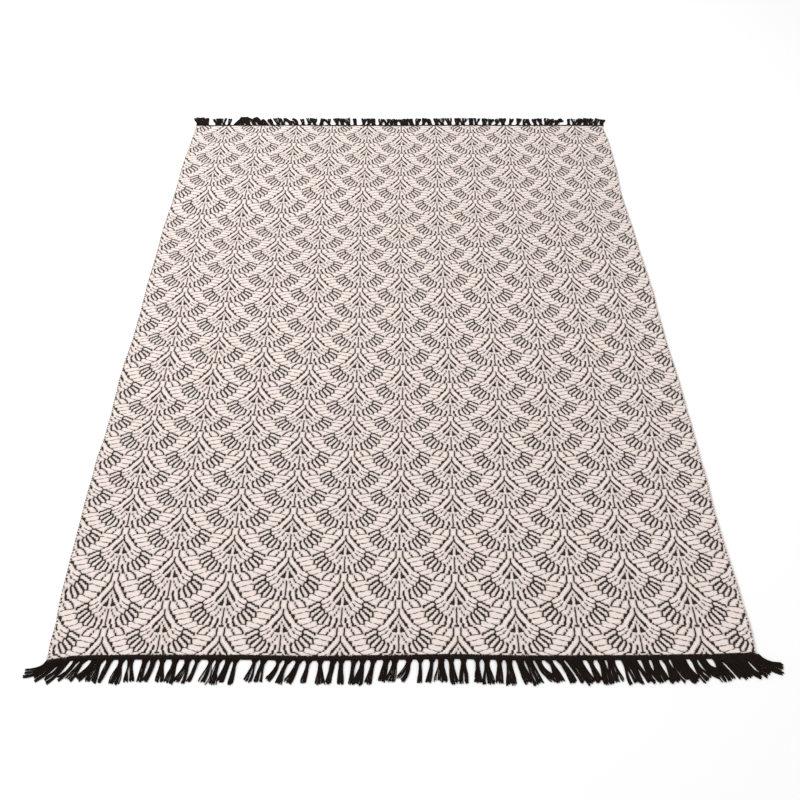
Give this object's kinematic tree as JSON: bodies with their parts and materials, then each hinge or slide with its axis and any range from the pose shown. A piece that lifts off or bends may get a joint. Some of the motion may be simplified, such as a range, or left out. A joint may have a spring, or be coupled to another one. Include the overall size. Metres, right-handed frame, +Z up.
{
  "type": "kilim rug",
  "caption": "Flat woven cotton kilim rug with a repeating fan pattern in off-white and black, and a black fringe on a woven band at both short ends.",
  "frame": {"origin": "on the floor under the middle of the rug's outer box", "axes": "+Y along the rug towards the end that lies furthest from the picture's camera, +X across it to the right, +Z up through its thickness"},
  "size_m": [1.6988, 2.4394, 0.005],
  "materials": {
    "woven_field": "matt, coarse cotton weave with raised off-white areas and warm black lines",
    "fringe_yarn": "matt, twisted warm black cotton yarn"
  },
  "bodies": {
    "root": {"rug_field": "woven_field", "fringe_near": "fringe_yarn", "fringe_far": "fringe_yarn"}
  },
  "joints": []
}
